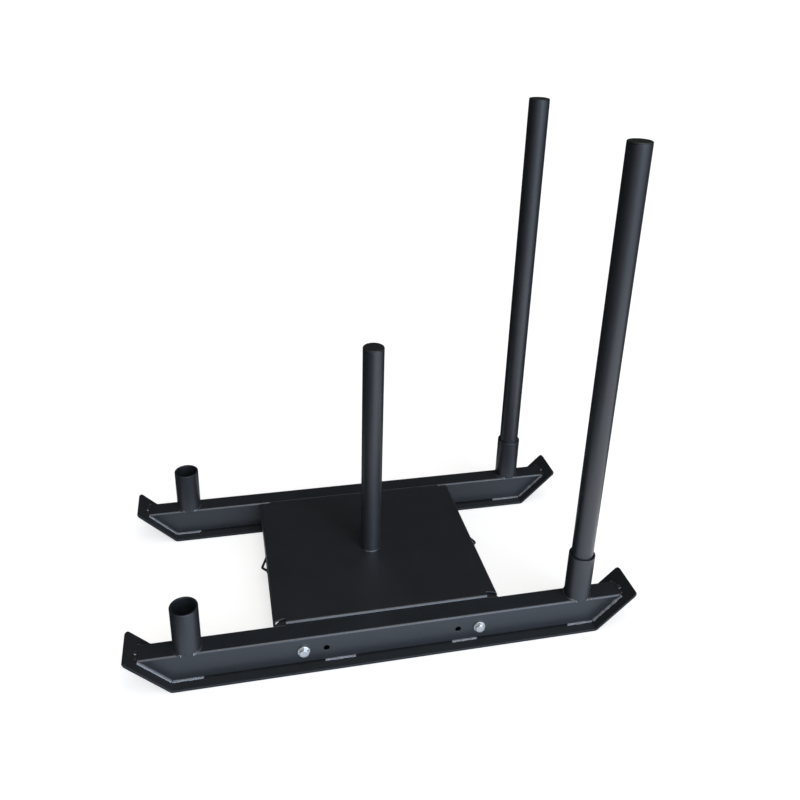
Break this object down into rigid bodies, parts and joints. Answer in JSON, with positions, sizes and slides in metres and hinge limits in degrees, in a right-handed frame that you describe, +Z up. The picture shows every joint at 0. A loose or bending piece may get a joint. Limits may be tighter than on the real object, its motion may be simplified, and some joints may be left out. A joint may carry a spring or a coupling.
{
  "type": "push sled",
  "caption": "Steel push sled with turned-up runners, a bolted deck with a post for weight plates, open front sockets and lift-out rear uprights.",
  "frame": {"origin": "on the floor, under the middle of the sled's box", "axes": "+X along the runners towards the uprights, +Y towards the right runner, +Z up"},
  "size_m": [1.1502, 0.615, 1.1349],
  "materials": {
    "powder_coated_steel": "satin black powder coat",
    "deck_coated_steel": "matte black powder coat",
    "zinc_plated_steel": "bright zinc plate",
    "cap_plastic": "moulded black plastic"
  },
  "bodies": {
    "sled_frame": {"left_ski_plate": "powder_coated_steel", "left_runner_tube": "powder_coated_steel", "left_front_socket": "powder_coated_steel", "left_rear_socket": "powder_coated_steel", "left_front_bolt": "zinc_plated_steel", "left_front_outer_washer": "zinc_plated_steel", "left_front_inner_washer": "zinc_plated_steel", "left_front_nut": "zinc_plated_steel", "left_rear_bolt": "zinc_plated_steel", "left_rear_outer_washer": "zinc_plated_steel", "left_rear_inner_washer": "zinc_plated_steel", "left_rear_nut": "zinc_plated_steel", "right_ski_plate": "powder_coated_steel", "right_runner_tube": "powder_coated_steel", "right_front_socket": "powder_coated_steel", "right_rear_socket": "powder_coated_steel", "right_front_bolt": "zinc_plated_steel", "right_front_outer_washer": "zinc_plated_steel", "right_front_inner_washer": "zinc_plated_steel", "right_front_nut": "zinc_plated_steel", "right_rear_bolt": "zinc_plated_steel", "right_rear_outer_washer": "zinc_plated_steel", "right_rear_inner_washer": "zinc_plated_steel", "right_rear_nut": "zinc_plated_steel", "deck_pan": "deck_coated_steel", "deck_stiffener": "deck_coated_steel", "load_post": "powder_coated_steel", "load_post_cap": "cap_plastic", "front_tow_loop": "powder_coated_steel", "rear_tow_loop": "powder_coated_steel"},
    "left_upright_body": {"left_upright": "powder_coated_steel", "left_upright_cap": "cap_plastic"},
    "right_upright_body": {"right_upright": "powder_coated_steel", "right_upright_cap": "cap_plastic"}
  },
  "joints": [
    {"name": "left_upright_lift", "type": "slide", "parent": "sled_frame", "child": "left_upright_body", "axis": [0, 0, 1], "range_m": [0, 0.13]},
    {"name": "right_upright_lift", "type": "slide", "parent": "sled_frame", "child": "right_upright_body", "axis": [0, 0, 1], "range_m": [0, 0.13]}
  ]
}
